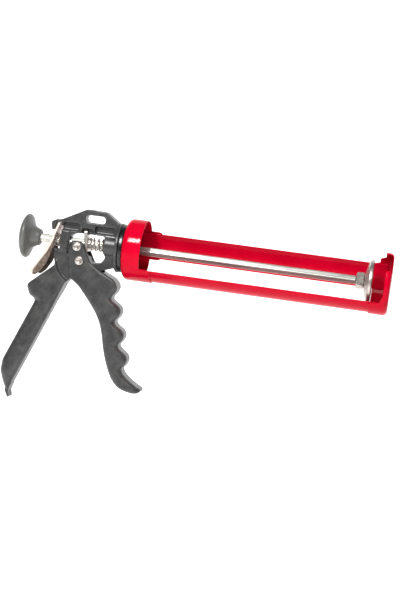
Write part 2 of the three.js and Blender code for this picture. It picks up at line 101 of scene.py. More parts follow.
# %% Skin of a grid
def quads_over(count, ring, loop):
    """Quads (i, j), (i, j+1), (i+1, j+1), (i+1, j), with j wrapping round its ring of points.
    With loop, i wraps too. Without, strips between points j and ring-1-j close the first and last ring."""
    k = np.arange(count * ring).reshape(count, ring)
    a = k if loop else k[:-1]
    b = np.roll(k, -1, 0) if loop else k[1:]
    walls = np.stack([a, np.roll(a, -1, 1), np.roll(b, -1, 1), b], -1).reshape(-1, 4)
    if loop:
        return walls
    j = np.arange(ring // 2 - 1)
    strips = np.stack([j, j + 1, ring - 2 - j, ring - 1 - j], -1)
    return np.concatenate([walls, k[0][strips][:, ::-1], k[-1][strips]])


def volume(points, quads):
    """Sum over the triangles of a . (b x c) / 6, which is negative where the normals point inward."""
    corners = points[np.concatenate([quads[:, [0, 1, 2]], quads[:, [0, 2, 3]]])]
    return np.einsum("ij,ij->", corners[:, 0], np.cross(corners[:, 1], corners[:, 2])) / 6


def finish_mesh(mesh, crease):
    """Smooth shading, broken where two faces meet at more than crease degrees."""
    mesh.polygons.foreach_set("use_smooth", np.ones(len(mesh.polygons), bool))
    mesh.set_sharp_from_angle(angle=math.radians(crease))


def stand_for(made, node, slot):
    """The new piece takes the CAD node's place, rides on its body, and has its finish from that slot."""
    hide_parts(node)
    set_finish(made, slot)
    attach(made, frame["nodes"][node]["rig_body"])
    print(f"{made.name}: {len(made.data.vertices)} points")


def piece(node, name, slot, surface, crease=40):
    """A piece from a surface: its grid of layout points, and whether the grid's rows close in a loop."""
    grid, loop = surface
    points = place(grid.reshape(-1, 3))
    quads = quads_over(grid.shape[0], grid.shape[1], loop)
    if volume(points, quads) < 0:
        quads = quads[:, ::-1]
    mesh = bpy.data.meshes.new(name)
    mesh.from_pydata(points, [], quads.tolist())
    finish_mesh(mesh, crease)
    made = bpy.data.objects.new(name, mesh)
    bpy.context.scene.collection.objects.link(made)
    stand_for(made, node, slot)
    return made


cube = np.array([[x, y, z] for x in (0, 1) for y, z in ((0, 0), (1, 0), (1, 1), (0, 1))], float)
print("a unit cube's skin holds a volume of", round(abs(volume(cube, quads_over(2, 4, False))), 3))

# %% [markdown]
# ## Profiles and turning
#
# A lathe tool leaves no true corner, and a mould is polished round. So a profile is given by its corners,
# each with the length over which it is eased, and the eased line is turned about the rod's axis.

# %% Eased profiles, turned
def turn_of(count):
    """Angles once round the rod, from -Y towards -Z."""
    return np.linspace(0, 2 * np.pi, count, endpoint=False)


def around(x, radius, angle):
    """Polar to layout: (x, r, a) -> (x, -r cos a, -r sin a)."""
    x, radius, angle = np.broadcast_arrays(x, radius, angle)
    return np.stack([x, -radius * np.cos(angle), -radius * np.sin(angle)], -1)


def eased(corners, steps=4, closed=True):
    """Corners (u, v, reach), each bridged by a parabola that starts and ends reach before and after it:
    q(s) = (1-s)^2 a + 2 s (1-s) corner + s^2 b."""
    corners = np.asarray(corners, float)
    point = corners[:, :2]
    back = np.roll(point, 1, 0) - point
    ahead = np.roll(point, -1, 0) - point
    long_back = np.linalg.norm(back, axis=1, keepdims=True)
    long_ahead = np.linalg.norm(ahead, axis=1, keepdims=True)
    reach = np.minimum(corners[:, 2:], 0.45 * np.minimum(long_back, long_ahead))
    a = (point + back / long_back * reach)[:, None]
    b = (point + ahead / long_ahead * reach)[:, None]
    s = np.linspace(0, 1, steps + 1)[None, :, None]
    curve = (1 - s) ** 2 * a + 2 * s * (1 - s) * point[:, None] + s ** 2 * b
    if closed:
        return curve.reshape(-1, 2)
    return np.concatenate([point[:1], curve[1:-1].reshape(-1, 2), point[-1:]])


def lathe(corners, count=96, steps=4):
    """A closed profile (x, r, reach) turned about the rod, as a ring of rings."""
    profile = eased(corners, steps)
    return around(profile[:, 0], profile[:, 1], turn_of(count)[:, None]), True


def solid_lathe(corners, count=96, steps=4):
    """An open profile (x, r, reach) turned about the rod, closed flat at both ends."""
    profile = eased(corners, steps, closed=False)
    return around(profile[:, :1], profile[:, 1:], turn_of(count)), False


print("a square's eased outline has", len(eased([(0, 0, 1), (4, 0, 1), (4, 4, 1), (0, 4, 1)])), "points")

# %% [markdown]
# ## Surfaces from sheet
#
# The cradle is pressed from 0.9 mm steel. A press keeps the sheet's thickness, and paint fills its sheared
# edges to a half round. So a pressed piece is drawn as the sheet's middle surface and thickened.

# %% Pressed sheet
def pressed(middle, thickness, wrap, edge_steps=4):
    """Closed skin of a sheet round middle[u, v]: faces at middle +- n t/2, with n = du x dv, and edges
    v = first and last as half rounds p + t/2 (cos a n + sin a e), where e points out of the sheet."""
    half = thickness / 2
    if wrap:
        du = np.roll(middle, -1, 0) - np.roll(middle, 1, 0)
    else:
        du = np.gradient(middle, axis=0)
    normal = np.cross(du, np.gradient(middle, axis=1))
    normal /= np.linalg.norm(normal, axis=2, keepdims=True)
    a = np.linspace(0, np.pi, edge_steps + 2)[None, 1:-1, None]

    def edge(row, neighbour, first):
        out = middle[:, row] - middle[:, neighbour]
        out = (out / np.linalg.norm(out, axis=1, keepdims=True))[:, None]
        n = normal[:, row][:, None] * first
        return middle[:, row][:, None] + half * (np.cos(a) * n + np.sin(a) * out)

    top = middle + half * normal
    under = (middle - half * normal)[:, ::-1]
    return np.concatenate([top, edge(-1, -2, 1), under, edge(0, 1, -1)], axis=1), wrap


flat = np.stack(np.meshgrid([0, 1], [0, 1], [0], indexing="ij"), -1)[:, :, 0].astype(float)
print("a flat sheet's section has", pressed(flat, 0.9, False)[0].shape[1], "points")

# %% [markdown]
# ## Finishes
#
# Each finish is named for the real material and how its surface was made. Colours are written as sRGB hex
# and turned linear in one place, and every pattern is sized in millimetres on the object itself.

# %% Colour, scale and shader nodes
def srgb(code):
    """Hex to linear: c / 12.92 below 0.04045, else ((c + 0.055) / 1.055) ^ 2.4."""
    c = np.array([int(code[i:i + 2], 16) for i in (0, 2, 4)]) / 255
    return (*np.where(c <= 0.04045, c / 12.92, ((c + 0.055) / 1.055) ** 2.4), 1.0)


def per_mm(size):
    """Noise scale, in cells per metre, whose features are size mm across."""
    return 1000 / size


def add(tree, kind, settings=None, **inputs):
    """One shader node, with its settings, and its inputs set to a number or joined to a socket."""
    node = tree.nodes.new("ShaderNode" + kind)
    for name, value in (settings or {}).items():
        setattr(node, name, value)
    for name, value in inputs.items():
        socket = node.inputs[name.replace("_", " ")]
        if isinstance(value, bpy.types.NodeSocket):
            tree.links.new(value, socket)
        else:
            socket.default_value = value
    return node


def finish(name, shades, patch, rough, peel, stretch=(1, 1, 1), speck=None, highlight_colour=None, **shader):
    """A finish whose colour drifts over patches of that many mm between its shades, whose roughness runs
    from rour[0] to rough[1], and whose surface has bumps peel = (mm across, mm high). Specks are
    (mm apart, colour, size), and the highlight colour is a painted highlight, mixed in as far as a point
    attribute reaches."""
    material = bpy.data.materials.new(name)
    material.use_nodes = True
    tree = material.node_tree
    tree.nodes.clear()
    here = add(tree, "TexCoord").outputs["Object"]
    along = add(tree, "Mapping", Vector=here, Scale=stretch).outputs["Vector"]
    drift = add(tree, "TexNoise", Vector=along, Scale=per_mm(patch), Detail=5.0, Roughness=0.55)
    ramp = add(tree, "ValToRGB", Fac=drift.outputs["Fac"])
    ramp.color_ramp.elements[0].position = 0.32
    ramp.color_ramp.elements[0].color = srgb(shades[0])
    ramp.color_ramp.elements[1].position = 0.68
    ramp.color_ramp.elements[1].color = srgb(shades[-1])
    for code, spot in zip(shades[1:-1], np.linspace(0.32, 0.68, len(shades))[1:-1]):
        ramp.color_ramp.elements.new(float(spot)).color = srgb(code)
    colour = ramp.outputs["Color"]
    wear = add(tree, "TexNoise", Vector=along, Scale=per_mm(patch / 5), Detail=6.0, Roughness=0.65)
    gloss = add(tree, "MapRange", Value=wear.outputs["Fac"], From_Min=0.3, From_Max=0.7,
                To_Min=rough[0], To_Max=rough[1])
    grain = add(tree, "TexNoise", Vector=along, Scale=per_mm(peel[0]), Detail=3.0, Roughness=0.5)
    bump = add(tree, "Bump", Strength=1.0, Distance=peel[1] / 1000, Height=grain.outputs["Fac"])
    if speck:
        dust = add(tree, "TexVoronoi", Vector=here, Scale=per_mm(speck[0]))
        fleck = add(tree, "MapRange", Value=dust.outputs["Distance"],
                    From_Min=speck[2], From_Max=speck[2] * 1.6, To_Min=1.0, To_Max=0.0)
        mix = add(tree, "MixRGB", Fac=fleck.outputs["Result"], Color1=colour, Color2=srgb(speck[1]))
        colour = mix.outputs["Color"]
    # Painted highlight: the highlight colour is mixed into the colour as far as the point attribute reaches.
    if highlight_colour:
        highlight_share = add(tree, "Attribute", {"attribute_name": "painted_highlight"}).outputs["Fac"]
        colour = add(tree, "MixRGB", Fac=highlight_share, Color1=colour, Color2=srgb(highlight_colour)).outputs["Color"]
    skin = add(tree, "BsdfPrincipled", Base_Color=colour, Roughness=gloss.outputs["Result"],
               Normal=bump.outputs["Normal"], **shader)
    add(tree, "OutputMaterial", Surface=skin.outputs["BSDF"])
    return material


print("mid grey is", [round(c, 3) for c in srgb("808080")])

# %% [markdown]
# ## The paints, the platings and the plastic
#
# - The handle and the trigger are die-cast aluminium under thin satin charcoal enamel. The casting's skin
#   shows through it as a fine mottle, so its sheen is broken and soft.
# - The swivel ring is turned steel in semi-gloss black.
# - The cradle has gloss red stoving enamel, with the faint orange peel that a sprayed gloss coat dries to.
# - The pins, plate, nuts and piston are bright zinc plated. Passivated zinc is a warm, slightly hazy metal.
# - The thumb lever is tumbled zinc, duller and browner, with a painted highlight down its back.
# - The rod is drawn bright steel, with fine lines along it from the die.
# - The knob is moulded from black plastic with a spark-eroded mould's fine matte grain.

# %% The finishes
cast_enamel = finish("satin_enamel_on_die_cast_aluminium", ("2b2b2b", "373737", "414140"), 7,
                     (0.24, 0.40), (0.9, 0.05), speck=(2.6, "4c4c4c", 0.10), Specular_IOR_Level=0.38)
red_enamel = finish("gloss_red_stoving_enamel_on_pressed_steel", ("b0021f", "b80323", "bf0427"), 30,
                    (0.08, 0.14), (2.4, 0.006), speck=(5.5, "a0021d", 0.05), Specular_IOR_Level=0.06)
black_enamel = finish("semi_gloss_black_enamel_on_turned_steel", ("0b0c0d", "121415"), 12,
                      (0.20, 0.34), (1.6, 0.010), Specular_IOR_Level=0.5)
bright_zinc = finish("passivated_bright_zinc_plate", ("8f8780", "b9b0a9", "cbc4be"), 5,
                     (0.24, 0.40), (0.5, 0.008), Metallic=0.85)
# Dull brown zinc for the lever, with e4d4cb as a painted highlight colour for its back.
lever_zinc_with_painted_highlight = finish("dull_zinc_plate_with_painted_highlight", ("52463e", "6a5c52", "7c6e64"), 3,
                   (0.40, 0.58), (0.45, 0.03), highlight_colour="e4d4cb", Metallic=0.7)
spring_wire = finish("zinc_plated_drawn_spring_wire", ("93867d", "b8a89d"), 3,
                     (0.24, 0.38), (0.4, 0.008), Metallic=0.85)
drawn_steel = finish("bright_drawn_and_plated_steel_bar", ("8c8c88", "b4b4ae", "c9c9c4"), 2.5,
                     (0.22, 0.36), (0.35, 0.004), stretch=(0.03, 1, 1), Metallic=0.7)
black_plastic = finish("moulded_black_plastic_with_eroded_grain", ("4e4f4c", "595a57"), 14,
                       (0.30, 0.40), (0.35, 0.02), Specular_IOR_Level=0.5)
print(len(bpy.data.materials), "materials, the frame's own included")

# %% [markdown]
# ## The rear cup
#
# The cup is a deep-drawn steel dish: a flat back that swivels on the casting's nose, a 5 mm drawn corner,
# and a straight wall. Over the root of each rail the wall runs on as a tongue, which is spot welded to it.
# The rim's distance from the back is a function of the angle, and the tongues' corners are rounded.

# %% Rear cup
CUP_RADIUS, SHEET, CUP_CORNER = 28.0, 0.9, 5.0
CUP_RIM, TONGUE = 17.5, 10.0
NEAR_RAIL, FAR_RAIL, RAIL_ARC = 63.5, 191.5, 53.0
MOUTH = (NEAR_RAIL + FAR_RAIL) / 2 + 180
TONGUE_HALF = RAIL_ARC / 2 + 2.5


def tongue_share(angle):
    """Share of a tongue's length at that angle in degrees: (1 - |d / half|^14)^(1/6), d from its middle."""
    share = np.zeros_like(angle)
    for middle in (NEAR_RAIL, FAR_RAIL):
        d = (angle - middle + 180) % 360 - 180
        share = np.maximum(share, np.clip(1 - np.abs(d / TONGUE_HALF) ** 14, 0, 1) ** (1 / 6))
    return share


def cup_angles():
    """Degrees round the cup, crowded where a tongue's side runs up from the rim."""
    ends = [m + s * TONGUE_HALF for m in (NEAR_RAIL, FAR_RAIL) for s in (-1, 1)]
    crowd = [e + np.linspace(-2.4, 2.4, 41) for e in ends]
    return np.unique(np.round(np.concatenate([np.arange(0, 360, 1.0), *crowd]) % 360, 4))


def rear_cup():
    """Middle of the sheet: out along the back, round the corner, and forward to the rim x(angle)."""
    half = SHEET / 2
    angle = cup_angles()[:, None]
    bend = np.linspace(np.pi, np.pi / 2, 9)
    radius = CUP_RADIUS - half
    corner_x = CUP_CORNER + (CUP_CORNER - half) * np.cos(bend)
    corner_r = CUP_RADIUS - CUP_CORNER + (CUP_CORNER - half) * np.sin(bend)
    rim = CUP_RIM + TONGUE * tongue_share(angle)
    s = np.linspace(0, 1, 15)[None, 1:]
    wall_x = CUP_CORNER + (rim - half - CUP_CORNER) * s
    back_r = np.linspace(10.1, CUP_RADIUS - CUP_CORNER, 8)[:-1]
    x = np.concatenate([np.full(7, half), corner_x])
    r = np.concatenate([back_r, corner_r])
    x = np.concatenate([np.broadcast_to(x, (len(angle), len(x))), wall_x], 1)
    r = np.concatenate([np.broadcast_to(r, (len(angle), len(r))), np.full_like(wall_x, radius)], 1)
    return pressed(around(x, r, np.radians(angle)), SHEET, True)


cup = piece("rear_cup", "rear_cup_drawn", "red_paint", rear_cup())

# %% [markdown]
# ## The two rails
#
# Each rail is a strip of the same sheet, rolled across its width to the cartridge's curve. Its long edges
# are the ones the hand feels, so the section is drawn round its edges and carried forward along X.

# %% Rails
LAP_GAP = 0.15
RAIL_START, RAIL_END = 9.0, 236.0


def rail(middle):
    """Middle of the sheet at x(u), angle(v): a tube wall's strip of RAIL_ARC degrees."""
    radius = CUP_RADIUS - 1.5 * SHEET - LAP_GAP
    edge = np.degrees(SHEET / 2 / radius)
    angle = np.radians(np.linspace(middle - RAIL_ARC / 2 + edge, middle + RAIL_ARC / 2 - edge, 33))
    x = np.linspace(RAIL_START, RAIL_END, 60)[:, None]
    return pressed(around(x, radius, angle[None]), SHEET, False)


near_rail = piece("near_rail", "near_rail_rolled", "red_paint", rail(NEAR_RAIL))
far_rail = piece("far_rail", "far_rail_rolled", "red_paint", rail(FAR_RAIL))

# %% [markdown]
# ## The nozzle plate
#
# The front cap is pressed like the cup, and then cut: a slot 21 mm wide runs from its middle out through
# the open side, so that a cartridge's nozzle drops in sideways. Its wall is left full only over the rails.
# Past the far rail a low shoulder of wall climbs to the slot's mouth. The sheet is measured along its own
# profile, from the slot's edge, round the corner, to the wall's edge.

# %% Nozzle plate
def ramp_between(value, start, end):
    """0 before start, 1 after end, and smooth between: s^2 (3 - 2 s)."""
    s = np.clip((value - start) / (end - start), 0, 1)
    return s * s * (3 - 2 * s)


CRADLE_LENGTH, CAP_LENGTH, CAP_CORNER = 241.0, 17.0, 4.0
SLOT_HALF = 10.5
SHOULDER, SHOULDER_LENGTH, BRIM_LENGTH = 14.0, 12.5, 7.5


def along_cap(distance):
    """Point (x, r) on the sheet's middle, distance mm from the axis: flat, then an arc, then the wall."""
    half = SHEET / 2
    bend = CAP_CORNER - half
    flat_end = CUP_RADIUS - CAP_CORNER
    arc = np.clip((distance - flat_end) / bend, 0, np.pi / 2)
    wall = np.maximum(distance - flat_end - bend * np.pi / 2, 0)
    x = CRADLE_LENGTH - half - bend * (1 - np.cos(arc)) - wall
    r = np.minimum(distance, flat_end) + bend * np.sin(arc)
    return x, r


def front_cap():
    """Sheet between the slot's edge, which is 10.5 / sin(a) beside the mouth and 10.5 beyond it, and the
    wall's edge. The wall is full over the rails, shorter on the shoulder, and a brim round the rest."""
    flat_end = CUP_RADIUS - CAP_CORNER
    bend = (CAP_CORNER - SHEET / 2) * np.pi / 2
    off = np.concatenate([np.linspace(25.2, 40, 24), np.linspace(41, 319, 190), np.linspace(320, 334.8, 24)])
    a = np.radians(off)
    slot = np.where(np.cos(a) > 0, SLOT_HALF / np.abs(np.sin(a)), SLOT_HALF)
    flare = np.clip((28.0 - np.minimum(off, 360 - off)) / 2.8, 0, 1)
    inner = slot + SHEET / 2 + 2.2 * flare ** 2
    angle = MOUTH + off
    past_near = (angle - (NEAR_RAIL - RAIL_ARC / 2) + 90) % 360 - 90
    past_far = past_near - (FAR_RAIL - NEAR_RAIL + RAIL_ARC)
    full = ramp_between(past_near, -1.5, 1.5) * (1 - ramp_between(past_far, -1.5, 1.5))
    low = ramp_between(past_near, -1.5, 1.5) * (1 - ramp_between(past_far, SHOULDER - 3, SHOULDER + 5))
    brim = BRIM_LENGTH - 2.2 * (1 - ramp_between(past_near, -20, 0))
    length = brim + (SHOULDER_LENGTH - brim) * low + (CAP_LENGTH - SHOULDER_LENGTH) * full
    outer = flat_end + bend + length - CAP_CORNER - SHEET / 2
    s = np.linspace(0, 1, 48)[None]
    x, r = along_cap(inner[:, None] * (1 - s) + outer[:, None] * s)
    return pressed(around(x, r, np.radians(angle)[:, None]), SHEET, False)


cap = piece("front_cap", "nozzle_plate_pressed", "red_paint", front_cap())

# %% [markdown]
# ## The swivel
#
# The cradle turns between a black ring on the casting's flange and a spring washer held by a thin nut.

# %% Swivel ring, washer and nut
NOSE_RADIUS, CLEAR = 9.6, 0.3
swivel_ring = piece("swivel_ring", "swivel_ring_turned", "black_paint", lathe([
    (-4.3, NOSE_RADIUS + CLEAR, 0.3), (-4.3, 22, 0.8), (-0.3, 22, 1.2),
    (-0.3, NOSE_RADIUS + CLEAR, 0.3)], 128))


def hexagon_reach(angle, flats):
    """Distance from the axis to a hexagon's side: (flats / 2) / cos(a), a from the nearest flat's middle."""
    a = (angle + np.pi / 6) % (np.pi / 3) - np.pi / 6
    return flats / 2 / np.cos(a)


def nut(flats, x0, x1, bore):
    """A hexagon cut down by the chamfer cones at both faces: r = min(hexagon, 0.94 flats/2 + 1.7 depth)."""
    angle = turn_of(144)[:, None]
    depth = np.array([0, 0.15, 0.4, 0.8, 1.3])
    depth = depth[depth < (x1 - x0) / 2]
    x = np.concatenate([x0 + depth, (x1 - depth)[::-1]])
    cone = 0.94 * flats / 2 + 1.7 * np.concatenate([depth, depth[::-1]])
    outer = np.minimum(hexagon_reach(angle, flats), cone)
    bore_x = np.array([x1, x1 - 0.4, x0 + 0.4, x0])
    bore_r = bore + np.array([0.35, 0, 0, 0.35])
    x = np.broadcast_to(np.concatenate([x, bore_x]), (144, len(x) + 4))
    r = np.concatenate([outer, np.broadcast_to(bore_r, (144, 4))], 1)
    return around(x, r, angle), True


spring_washer = piece("swivel_spring_washer", "swivel_spring_washer_stamped", "zinc", lathe([
    (1.2, NOSE_RADIUS + CLEAR, 0.2), (1.2, 14.5, 0.3), (2.3, 14.5, 0.3), (2.3, NOSE_RADIUS + CLEAR, 0.2)]))
retainer = piece("swivel_retainer_nut", "swivel_retainer_nut_cut", "zinc",
                 nut(24, 3.5, 7.4, NOSE_RADIUS + CLEAR))

# %% [markdown]
# ## The push rod and its thread
#
# The rod is hexagonal bar, drawn through a die that leaves its corners slightly rounded. Its front end is
# turned down and threaded M6 for the piston: the thread is one groove that climbs a pitch each turn.

# %% Push rod
ROD_FLATS = 7.5


def push_rod():
    """r = min(hexagon, 4.2) along the bar, a cone at each end, and on the stud
    r = 3 - 0.55 d (1 + cos(2 pi x / pitch - a)) with groove half-depth d."""
    angle = turn_of(96)[None]
    bar_x = np.concatenate([[-90, -89.6], np.linspace(-89, 208.6, 80), [209.2, 209.6]])
    stud_x = np.arange(209.9, 223.8, 0.125)
    hexagon = np.minimum(hexagon_reach(angle - np.pi / 6, ROD_FLATS), 4.22)
    cone = np.minimum(np.abs(bar_x + 90), np.abs(209.6 - bar_x))[:, None] * 1.4 + 3.45
    groove = 0.27 * (1 + np.cos(2 * np.pi * stud_x[:, None] - angle))
    fade = np.clip((223.9 - stud_x[:, None]) / 0.8, 0.25, 1)
    bar = around(bar_x[:, None], np.minimum(hexagon, cone), angle)
    stud = around(stud_x[:, None], (3.0 - groove) * fade ** 0.25, angle)
    tip = around(np.array([[224.0]]), np.full((1, 96), 2.2), angle)
    return np.concatenate([bar, stud, tip]), False


rod = piece("push_rod", "push_rod_drawn", "rod_steel", push_rod(), crease=24)

# %% [markdown]
# ## The piston
#
# The piston is a zinc plated steel dish, hollow side forward, with a short rim that centres it in the
# cartridge. A thick nut behind and a washer and thin nut in front clamp it on the rod's thread.

# %% Piston, nuts and washer
BACK = PISTON_FACE - 6.5
piston = piece("piston_disc", "piston_dish_pressed", "zinc", lathe([
    (BACK, 3.3, 0.2), (BACK, 8.6, 1.2), (BACK + 1.3, 13, 1.6), (PISTON_FACE - 3.2, 19, 1.2),
    (PISTON_FACE - 2.4, 20, 0.6), (PISTON_FACE, 20, 0.35), (PISTON_FACE, 18.8, 0.4),
    (PISTON_FACE - 2.2, 17.6, 1.0), (BACK + 3.0, 12.2, 1.4), (BACK + 1.2, 8.2, 1.0),
    (BACK + 1.2, 3.3, 0.2)], 128, 5))
rear_nut = piece("piston_rear_nut", "piston_rear_nut_cut", "zinc", nut(13, 210, BACK - CLEAR, 3.3))
front_washer = piece("piston_front_washer", "piston_front_washer_stamped", "zinc", lathe([
    (BACK + 1.4, 3.3, 0.15), (BACK + 1.4, 6.5, 0.25), (PISTON_FACE - 4.3, 6.5, 0.25),
    (PISTON_FACE - 4.3, 3.3, 0.15)]))
front_nut = piece("piston_front_nut", "piston_front_nut_cut", "zinc",
                  nut(10, PISTON_FACE - 4.1, PISTON_FACE - 0.6, 3.3))

# %% [markdown]
# ## The pull knob
#
# A mushroom moulded in one piece: a domed back for the palm, a full edge, and a neck that tapers forward
# to a collar. Plastic shrinks as it sets, so every edge is soft.

# %% Pull knob
KNOB_BACK, KNOB_FRONT = -99.0, -80.8
knob = piece("pull_knob", "pull_knob_moulded", "knob_plastic", solid_lathe([
    (KNOB_BACK - 1.4, 0.4, 0.1), (KNOB_BACK - 1.1, 7, 3), (KNOB_BACK + 0.7, 14.6, 3),
    (KNOB_BACK + 3.2, 19.5, 2), (KNOB_BACK + 5.4, 20.5, 1.2), (KNOB_BACK + 7.2, 19.6, 1.4),
    (KNOB_BACK + 8.8, 15.8, 2.2),
    (KNOB_BACK + 10.4, 11.2, 2), (KNOB_FRONT - 4, 8.5, 1.6), (KNOB_FRONT - 0.7, 7.4, 0.6),
    (KNOB_FRONT, 6.7, 0.3), (KNOB_FRONT, 4.66, 0.2), (KNOB_BACK + 8, 4.6, 0.2),
    (KNOB_BACK + 8, 0.4, 0.1)], 128, 6))

# %% [markdown]
# ## The springs
#
# Both springs are wound from zinc plated wire. Three quarters of a turn at each end lie closed against
# their seats, and the rest is spread evenly. The rear seats lean, so the coils' lean fades out forward.

# %% Springs
def spring(wire, x0, x1, turns, lean, radius=6.1):
    """Tube round the path x(t) = x0 + w/2 + advance(t) + lean (1 - t) z, y = c cos(2 pi n t) and
    z = c sin(2 pi n t): p = path + w/2 (cos v out + sin v side), side being square to the path and out."""
    t = np.linspace(0, 1, int(turns * 40) + 1)
    turn = t * turns
    span = x1 - x0 - wire
    dead = min(0.75, turns / 4)
    closed = dead * wire * 0.9
    advance = np.interp(turn, [0, dead, turns - dead, turns], [0, closed, span - closed, span])
    centre = radius - wire / 2
    a = 2 * np.pi * turn
    z = centre * np.sin(a)
    path = np.stack([x0 + wire / 2 + advance + lean * (1 - t) * z, centre * np.cos(a), z], -1)
    ahead = np.gradient(path, axis=0)
    ahead /= np.linalg.norm(ahead, axis=1, keepdims=True)
    out = np.stack([0 * a, np.cos(a), np.sin(a)], -1)
    out -= np.sum(out * ahead, 1, keepdims=True) * ahead
    out /= np.linalg.norm(out, axis=1, keepdims=True)
    side = np.cross(ahead, out)
    v = np.linspace(0, 2 * np.pi, 14, endpoint=False)[None, :, None]
    return path[:, None] + wire / 2 * (np.cos(v) * out[:, None] + np.sin(v) * side[:, None]), False


drive_spring = piece("drive_spring", "drive_spring_wound", "spring_steel",
                     spring(1.4, -34.2, -20.4, 4.0, -0.14))
release_spring = piece("release_spring", "release_spring_wound", "spring_steel",
                       spring(1.0, -66.7, -61.3, 2.0, 0.36))

# %% [markdown]
# ## The rivets
#
# The pivot pin and the shoe's two rivets are semi-tubular: the tool spreads the drilled end of the shank
# into a rolled collar, which leaves a round dimple in the middle of a bright head.

# %% Rivets
def across(corners, x, z, count=64):
    """A profile (y, r, reach) turned about an axis across the gun at (x, z)."""
    profile = eased(corners, 5, closed=False)
    a = turn_of(count)
    y, r = profile[:, :1], profile[:, 1:]
    return np.stack(np.broadcast_arrays(x + r * np.cos(a), y, z + r * np.sin(a)), -1), False


def head(y, out, radius=4.0):
    """Profile of a rolled rivet head from its dimple's middle to the shank's side of its collar."""
    return [(y + out * 0.55, 0.3, 0.05), (y + out * 0.5, 1.3, 0.3), (y + out * 1.3, 2.2, 0.5),
            (y + out * 1.4, 2.9, 0.5), (y + out * 0.75, radius, 0.5), (y, radius, 0.2)]


OUTSIDE = 11.6
pivot_profile = [*head(-OUTSIDE, -1), (-OUTSIDE, 3, 0.1), (OUTSIDE, 3, 0.1), *head(OUTSIDE, 1)[::-1]]
pivot_pin = piece("trigger_pivot_pin", "trigger_pivot_pin_riveted", "zinc",
                  across(pivot_profile, -40.2, -15.8))
near_profile = [*head(-OUTSIDE, -1), (-OUTSIDE, 2, 0.1), (-5.7, 2, 0.3), (-5.7, 0.3, 0.05)]
far_profile = [(y * -1, r, reach) for y, r, reach in near_profile]
near_rivet = piece("shoe_rivet_near", "shoe_rivet_near_rolled", "zinc", across(near_profile, -43.8, -3.4))
far_rivet = piece("shoe_rivet_far", "shoe_rivet_far_rolled", "zinc", across(far_profile, -43.8, -3.4))

# %% [markdown]
# ## Cast and bent pieces
#
# Molten aluminium can't fill a sharp corner, so every edge of a casting is rounded and every inside corner
# has a fillet. The CAD solid is resampled on a fine grid of voxels and relaxed, which rounds both. Bent
# pieces get the same softening on a finer grid, as tumbling gives them.

# %% Softened copy of a CAD solid
def softened(node, name, slot, cell, relax):
    """A copy of the CAD node: doubled points merged, resampled in cells of that many mm, and relaxed."""
    work = bmesh.new()
    work.from_mesh(frame["nodes"][node].data)
    bmesh.ops.remove_doubles(work, verts=work.verts, dist=2e-6)
    mesh = bpy.data.meshes.new(name)
    work.to_mesh(mesh)
    work.free()
    made = bpy.data.objects.new(name, mesh)
    bpy.context.scene.collection.objects.link(made)
    cells = made.modifiers.new("cells", "REMESH")
    cells.mode = "VOXEL"
    cells.voxel_size = cell / 1000
    ease = made.modifiers.new("ease", "SMOOTH")
    ease.factor = 0.5
    ease.iterations = relax
    bake(made)
    stand_for(made, node, slot)
    return made


def bake(made):
    """The mesh with its modifiers applied takes the mesh's place."""
    shaped = bpy.data.meshes.new_from_object(made.evaluated_get(bpy.context.evaluated_depsgraph_get()))
    made.modifiers.clear()
    made.data = shaped
    shaped.name = made.name
    finish_mesh(shaped, 60)


print("the handle's CAD solid has", len(frame["nodes"]["handle_casting"].data.vertices), "points to soften")

# %% [markdown]
# ## The lever, the drive plate and the shoe
#
# All three are blanked from thick strip and zinc plated. The lever is then bent to a channel. A painted
# highlight runs down its back, and its flanges are a dull brown.

# %% Bent pieces
def layout_points(made):
    """Frame to layout: the mesh's points as rows of (x, y, z) in millimetres."""
    flat = np.empty(len(made.data.vertices) * 3)
    made.data.vertices.foreach_get("co", flat)
    return flat.reshape(-1, 3) * 1000 + (PISTON_FACE, 0, 0)


def painted_highlight(made, share):
    """The painted highlight's share, 0 to 1 at each point, as a point attribute, from a function of the
    points in layout millimetres.
    """
    highlight_layer = made.data.attributes.new("painted_highlight", "FLOAT", "POINT")
    highlight_layer.data.foreach_set("value", share(layout_points(made)).astype(np.float32))


def lever_highlight_band(points):
    """The lever's back, within 2 to 3.4 mm of the line of its outer face, which a painted highlight makes
    bright.
    """
    line = np.interp(points[:, 2], [-29.6, -20, -11.2, 1, 16.2], [-85.2, -79.4, -73.8, -68.9, -63.7])
    return 1 - ramp_between(points[:, 0] - line, 2.0, 3.4)


lever = softened("release_lever", "release_lever_bent", "lever_zinc", 0.4, 3)
plate = softened("drive_plate", "drive_plate_blanked", "zinc", 0.3, 3)
shoe = softened("drive_shoe", "drive_shoe_bent", "zinc", 0.25, 2)
# Painted highlight: a bright band down the lever's back.
painted_highlight(lever, lever_highlight_band)

# %% [markdown]
# ## Rounds for the hand
#
# The sides of the grip and the trigger that a hand holds are rounds. Each one is made by pressing the square
# edge of the casting onto a circle, which moves every point along the outline's normal and across the grip at
# once. Its radius runs out to nothing where the grip meets the web.

# %% Rounding an edge onto a circle
def rounded_edge(points, depth, inward, half, radius):
    """Square to disc on each edge: with a = 1 - depth / R and b = (|y| - half + R) / R, both kept in 0..1,
    a' = a sqrt(1 - b^2 / 2) and b' = b sqrt(1 - a^2 / 2). The point moves R (a - a') inward."""
    a = np.clip(1 - depth / radius, 0, 1)
    b = np.clip((np.abs(points[:, 1]) - half + radius) / radius, 0, 1)
    a_new = a * np.sqrt(1 - b ** 2 / 2)
    b_new = b * np.sqrt(1 - a ** 2 / 2)
    moved = points.copy()
    moved[:, 0] += radius * (a - a_new) * inward[0]
    moved[:, 2] += radius * (a - a_new) * inward[1]
    moved[:, 1] = np.sign(points[:, 1]) * (np.abs(points[:, 1]) - radius * (b - b_new))
    return moved


def reshape(made, change):
    """The mesh's points, in layout millimetres, go through change."""
    made.data.vertices.foreach_set("co", place(change(layout_points(made))).ravel())
    made.data.update()


